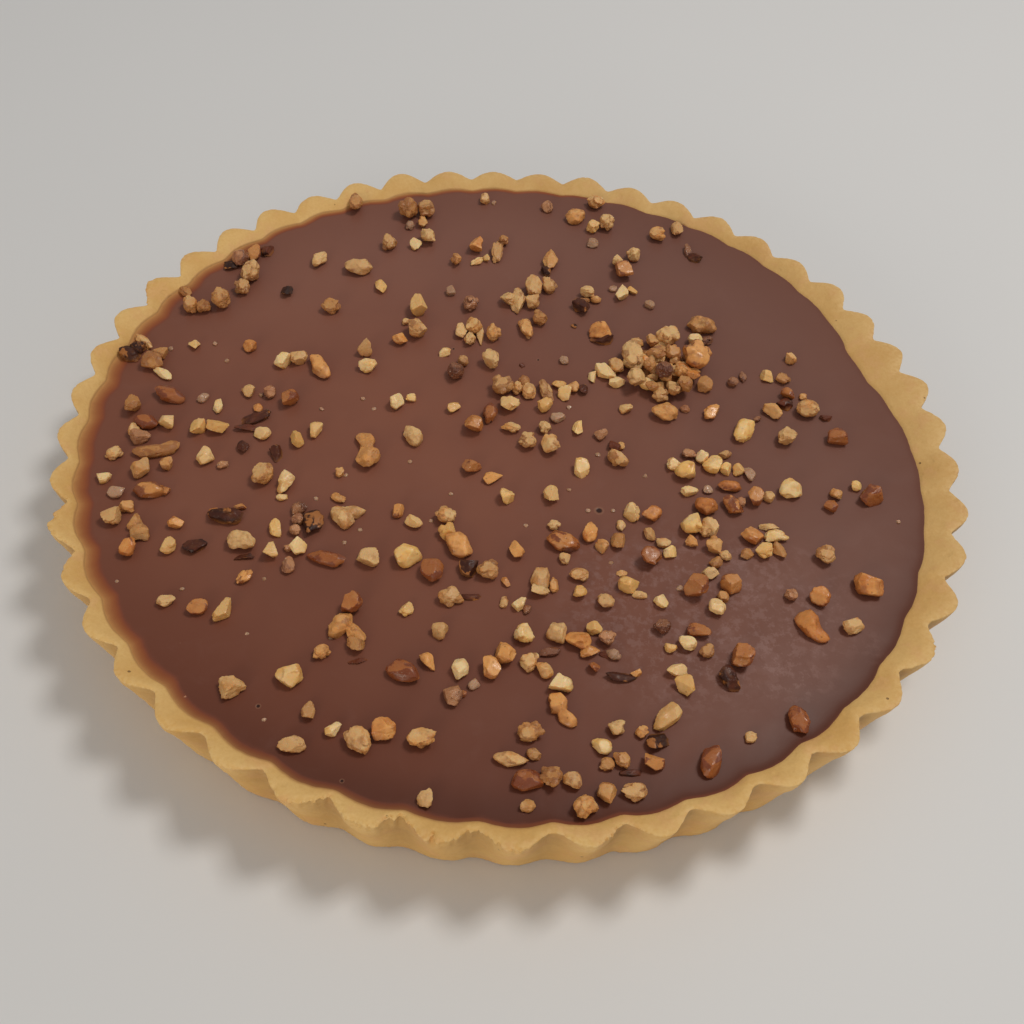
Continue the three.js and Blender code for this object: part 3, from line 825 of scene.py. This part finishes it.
# each kind's slot, its roughness, the size of its patches of colour and the depth of its relief
nutFinishes = {
    "pale": ("pale_nut", 0.48, 3.5, 0.13),
    "golden": ("golden_nut", 0.58, 2.4, 0.26),
    "roasted": ("roasted_nut", 0.42, 3.4, 0.13),
    "dark": ("dark_nut", 0.5, 3.0, 0.15),
    "brown": ("dark_nut", 0.4, 2.5, 0.4),
    "sugar": ("pale_nut", 0.4, 2.0, 0.2),
}
crispAngle = 0.5  # radians between faces, past which their edge is sharp
foreshortening = 0.89  # a lump's own height lengthens it in the view, away from the camera
sink = 0.45  # how deep a nut sits in the chocolate


def anyDirection(chance):
    direction = Vector([chance.gauss(0, 1) for _ in range(3)])
    return direction.normalized()


class Nut:  # one lump's seeded shape, worked out along each direction from its middle
    def __init__(self, kind, chance):
        self.surface = nutSurfaces[kind]
        look = nutShapes[kind]
        if chance.random() < look["knobbly"]:
            look = knobbly
        self.knobs = [(anyDirection(chance) * 0.1, look["heart"])]
        for _ in range(look["knobs"]):
            size = chance.uniform(0.26, 0.44)
            self.knobs.append((anyDirection(chance) * (1.02 - size) * 0.88, size))
        self.planes = [(anyDirection(chance), chance.uniform(*look["depth"])) for _ in range(look["planes"])]
        top = Vector((chance.gauss(0, 0.25), chance.gauss(0, 0.25), 1)).normalized()
        self.planes.append((top, chance.uniform(0.45, 0.75)))
        self.bites = [(anyDirection(chance) * 1.15, chance.uniform(0.4, 0.65)) for _ in range(look["bites"])]
        self.offset = Vector([chance.uniform(-50, 50) for _ in range(3)])

    def knobReach(self, direction):  # and how deep in a crease between two knobs
        best = second = 0
        for centre, radius in self.knobs:
            toward = direction.dot(centre)
            inside = toward * toward - centre.length_squared + radius * radius
            if inside > 0:
                out = toward + math.sqrt(inside)
                best, second = max(out, best), max(second, min(out, best))
        return best, max(0.0, 1 - (best - second) / 0.12)

    def carve(self, direction, reach, crease, planeDepth=1.0):
        inside = 0
        for normal, depth in self.planes:
            facing = direction.dot(normal)
            if facing * reach > depth * planeDepth:
                reach = depth * planeDepth / facing
                inside = 1
        if inside:
            crease = 0.0
        for centre, radius in self.bites:
            toward = direction.dot(centre)
            depth = toward * toward - centre.length_squared + radius * radius
            if toward > 0 and depth > 0 and 0.3 < toward - math.sqrt(depth) < reach:
                reach = toward - math.sqrt(depth)
                inside = 0.7
        lump = self.surface["lumps"] * noise.noise(direction * 2.1 + self.offset)
        lump += self.surface["grain"] * noise.noise(direction * 5.5 + self.offset)
        lump += self.surface["grain"] * 0.6 * noise.noise(direction * 11 + self.offset)
        lump *= 1 - 0.5 * inside
        crease = min(1.0, max(0.0, crease - 4 * lump))
        return reach * (1 + lump) - 0.05 * crease, inside * (1 - crease), crease


def newLump(detail, layerNames=nutLayers):
    lump = bmesh.new()
    layers = {name: lump.verts.layers.float.new(name) for name in layerNames}
    bmesh.ops.create_icosphere(lump, subdivisions=detail, radius=1.0)
    return lump, layers


def settle(lump, layers, chance, tones=()):
    low = min(v.co.z for v in lump.verts)
    high = max(v.co.z for v in lump.verts)
    drawn = (chance.random(), chance.random())
    tone, shade = tones or drawn
    lump.normal_update()
    for v in lump.verts:
        v[layers["tone"]] = tone
        v[layers["shade"]] = shade
        # rise and side carry the painted highlight on top and the painted shade at the foot and on steep
        # sides
        v[layers["rise"]] = (v.co.z - low) / (high - low)
        v[layers["side"]] = 1 - max(0.0, v.normal.z)


def addTo(mesh, lump):  # keeps the edges between cut faces crisp
    for edge in lump.edges:
        edge.smooth = edge.calc_face_angle(0) < crispAngle
    data = bpy.data.meshes.new("lump")
    lump.to_mesh(data)
    lump.free()
    mesh.from_mesh(data)
    bpy.data.meshes.remove(data)


def addNut(mesh, kind, centre, size, turn, chance, detail):
    lump, layers = newLump(detail)
    nut = Nut(kind, chance)
    for v in lump.verts:
        direction = v.co.normalized()
        reach, v[layers["inside"]], v[layers["crease"]] = nut.carve(direction, *nut.knobReach(direction))
        v.co = direction * reach
    low = Vector([min(v.co[i] for v in lump.verts) for i in range(3)])
    high = Vector([max(v.co[i] for v in lump.verts) for i in range(3)])
    fit = Matrix.Diagonal([s / (h - l) for s, l, h in zip(size, low, high)]).to_4x4()
    tilt = Matrix.Rotation(chance.uniform(-0.2, 0.2), 4, "X")
    tilt = tilt @ Matrix.Rotation(chance.uniform(-0.2, 0.2), 4, "Y")
    spin = Matrix.Rotation(turn, 4, "Z")
    move = Matrix.Translation(centre)
    whole = Matrix.Scale(mm, 4) @ move @ spin @ tilt @ fit @ Matrix.Translation(-(low + high) / 2)
    bmesh.ops.transform(lump, matrix=whole, verts=lump.verts)
    settle(lump, layers, chance)
    addTo(mesh, lump)


def rimLift(x, y):  # the rim carries what lies on it
    a = math.atan2(y, x)
    away = math.hypot(x, y) - mouth(a)
    return (rimLevel(a) + 0.5 - tart["level"]) * min(1.0, max(0.0, away / 2))


def laid(place, look, lift=rimLift):  # from pixels to a centre and sizes in millimetres, and a turn
    x, y, length, width, turn = (*place, 0)[:5]  # unturned unless it says so
    turn = math.radians(turn)
    rise = look["rise"] * width * 0.3
    centre = Vector()
    for _ in range(2):
        level = tart["level"] + lift(centre.x, centre.y) + rise / 2 - sink
        long = Vector((math.cos(turn), math.sin(turn))) * length / 2
        wide = Vector((-math.sin(turn), math.cos(turn))) * width / 2
        spans = []
        for half in (long, wide):
            span = onLevel(x + half.x, y + half.y, level) - onLevel(x - half.x, y - half.y, level)
            span.y *= foreshortening
            spans.append(span)
        rise = look["rise"] * spans[1].length
        centre = onLevel(x, y, level)
    size = (spans[0].length, spans[1].length, rise)
    return centre, size, math.atan2(spans[0].y, spans[0].x)


# how warm and how toasted some large nuts are, from 0 to 1, by number; the others' are left to chance
lightly, fairly, deeply, warmly, darkly = (0.2, 0.0), (0.7, 0.6), (0.8, 0.95), (1.0, 0.1), (0.9, 0.4)
knownTones = {
    "pale": {1: warmly, 3: warmly, 5: warmly},
    "golden": {1: lightly, 3: deeply, 5: warmly, 6: deeply, 7: fairly, 8: fairly, 10: warmly, 11: lightly,
               13: warmly, 16: lightly, 17: fairly},
    "roasted": {1: lightly, 2: deeply, 3: deeply, 5: deeply, 6: lightly, 7: deeply, 8: deeply, 9: warmly,
                10: fairly, 11: warmly, 14: warmly, 15: fairly, 16: lightly, 17: deeply, 18: deeply,
                19: deeply},
    "dark": {1: darkly, 2: darkly, 3: darkly},
}


def nutFromNode(mesh, node, kind, chance):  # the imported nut, broken and worn more finely
    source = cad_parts[node].data
    tree = BVHTree.FromPolygons([v.co for v in source.vertices], [p.vertices for p in source.polygons])
    low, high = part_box(node)
    centre = (low + high) / 2
    half = (high - low) / 2
    far = 2 * half.length
    lump, layers = newLump(4)
    nut = Nut(kind, chance)
    for v in lump.verts:
        direction = v.co.normalized()
        hit = tree.ray_cast(centre + direction * far, -direction, far)[0]
        spot = Vector([(hit[i] - centre[i]) / half[i] for i in range(3)])
        toward = spot.normalized()
        crease = 0.5 * nut.knobReach(toward)[1]
        reach, v[layers["inside"]], v[layers["crease"]] = nut.carve(toward, spot.length, crease, 1.5)
        v.co = centre + Vector([toward[i] * reach * half[i] for i in range(3)])
    axes = {"use_axis_x": True, "use_axis_y": True, "use_axis_z": True}
    bmesh.ops.smooth_vert(lump, verts=lump.verts, factor=0.35, **axes)
    drop = (sink + 0.2) * mm
    for v in lump.verts:
        v.co.z -= drop
    number = int(node.split("_")[-1])
    settle(lump, layers, chance, knownTones[kind].get(number))
    addTo(mesh, lump)


heap = {"x": 48, "y": 34, "long": 14, "wide": 13, "height": 3.6}
heapMore = {"golden": 28, "pale": 10, "brown": 2, "roasted": 2}  # fill it between those listed


def heapLift(x, y):
    away = math.hypot((x - heap["x"]) / heap["long"], (y - heap["y"]) / heap["wide"])
    return heap["height"] * max(0.0, 1 - away * away) ** 0.7


def makeNuts(kind):
    chance = random.Random(len(kind) * 31 + ord(kind[0]))  # a seed for each kind
    mesh = bmesh.new()
    look = nutSurfaces[kind]
    nodes = sorted(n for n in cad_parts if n.startswith(kind + "_nut"))
    for node in nodes:
        nutFromNode(mesh, node, kind, chance)
    for place in nutPlaces[kind]:
        centre, size, turn = laid(place, look)
        detail = 4 if max(size) > look["fineOver"] else 3 if max(size) > 2 else 2
        addNut(mesh, kind, centre, size, turn, chance, detail)
    for place in heapPlaces.get(kind, []):
        centre, size, turn = laid(place, look, heapLift)
        addNut(mesh, kind, centre, size, turn, chance, 4 if max(size) > 5 else 3)
    for _ in range(heapMore.get(kind, 0)):
        away = math.sqrt(chance.random()) * 0.85
        angle = chance.uniform(0, 2 * math.pi)
        x = heap["x"] + heap["long"] * away * math.cos(angle)
        y = heap["y"] + heap["wide"] * away * math.sin(angle)
        width = chance.uniform(3.0, 4.8)
        size = (width * chance.uniform(1, 1.4), width, width * 0.8)
        centre = Vector((x, y, tart["level"] + heapLift(x, y) * 0.8 + 0.1 * width))
        addNut(mesh, kind, centre, size, chance.uniform(0, math.pi), chance, 3)
    slotName, roughness, patch, relief = nutFinishes[kind]
    finish = nutFinish(kind + "_nut", nutColours[kind], roughness, patch, relief)
    finishPiece(mesh, kind + "_nuts", finish, nodes)


def makeHeapCore():
    lump, layers = newLump(4)
    for v in lump.verts:
        swell = 1 + 0.25 * noise.noise(v.co * 3) + 0.1 * noise.noise(v.co * 8)
        x = heap["x"] + v.co.x * heap["long"] * 0.74 * swell
        y = heap["y"] + v.co.y * heap["wide"] * 0.74 * swell
        z = tart["level"] - 0.3 + max(v.co.z, -0.1) * heap["height"] * 0.6 * swell
        v.co = Vector((x, y, z)) * mm
    settle(lump, layers, random.Random(2))
    finish = nutFinish("heap_core", nutColours["golden"], 0.5, 3.0, 0.4)
    finishPiece(lump, "heap_core", finish, ["nut_heap"])


crumbs = {"count": 150, "small": 0.5, "large": 1.0}


def makeCrumbs():
    chance = random.Random(12)
    mesh = bmesh.new()
    for _ in range(crumbs["count"]):
        centre, width, share = chance.choice(brokenPlaces)
        if chance.random() > share:
            continue
        a = math.radians(centre + chance.gauss(0, width * 0.6))
        outer, level = lipAt(a)[:2]
        size = chance.uniform(crumbs["small"], crumbs["large"]) ** 2
        radius = outer - chance.uniform(0.1, 0.6)
        lump = newLump(2, ())[0]
        offset = Vector([chance.uniform(-9, 9) for _ in range(3)])
        for v in lump.verts:
            v.co *= 0.5 + 0.4 * noise.noise(v.co * 1.7 + offset)
        spot = Vector((radius * math.cos(a), radius * math.sin(a), level - 0.2 * size))
        turn = Matrix.Rotation(chance.uniform(0, math.pi), 4, anyDirection(chance))
        flat = Matrix.Diagonal((size, size * 0.8, size * 0.6, 1))
        whole = Matrix.Scale(mm, 4) @ Matrix.Translation(spot) @ turn @ flat
        bmesh.ops.transform(lump, matrix=whole, verts=lump.verts)
        addTo(mesh, lump)
    finishPiece(mesh, "crumbs", pastryFinish("pastry_crumb", 0.0))


makeCamera()
makeCrust()
makeCrumbs()
makeFilling()
makeHeapCore()
for kind in nutFinishes:
    makeNuts(kind)


stage = {
    "tableColour": (0.78, 0.78, 0.785),
    "tableSize": 3.0,
    "tableDrop": 0.0002,
    "skyColour": (1.0, 0.985, 0.96),
    "skyStrength": 0.34,
}


def makeStage():
    mesh = bmesh.new()
    bmesh.ops.create_grid(mesh, x_segments=1, y_segments=1, size=stage["tableSize"])
    data = bpy.data.meshes.new("table")
    mesh.to_mesh(data)
    mesh.free()
    f = Finish("pale_table")
    shade = f.blend(f.cloud(160, 2), stage["tableColour"], tuple(0.97 * c for c in stage["tableColour"]))
    f.set(Base_Color=shade, Roughness=0.55)
    data.materials.append(f.material)
    table = bpy.data.objects.new("table", data)
    table.location.z = -stage["tableDrop"]
    bpy.context.scene.collection.objects.link(table)
    world = bpy.data.worlds.new("studio")
    world.use_nodes = True
    background = world.node_tree.nodes["Background"]
    background.inputs["Color"].default_value = (*stage["skyColour"], 1)
    background.inputs["Strength"].default_value = stage["skyStrength"]
    bpy.context.scene.world = world
    bpy.context.scene.view_settings.view_transform = "Standard"


lamps = {
    "key": {"place": (0.59, 0.40, 1.3), "size": 0.35, "power": 8.0, "colour": (1.0, 0.96, 0.90)},
    "front": {"place": (-0.45, -1.05, 0.35), "size": 0.5, "power": 2.9, "colour": (1.0, 0.91, 0.76)},
}


def makeLamps():
    for name, lamp in lamps.items():
        light = bpy.data.lights.new(name, "AREA")
        light.size = lamp["size"]
        light.energy = lamp["power"]
        light.color = lamp["colour"]
        holder = bpy.data.objects.new(name, light)
        holder.location = lamp["place"]
        aim = Vector((0, 0, 0.02)) - holder.location
        holder.rotation_euler = aim.to_track_quat("-Z", "Y").to_euler()
        bpy.context.scene.collection.objects.link(holder)


makeStage()
makeLamps()
print("lit")
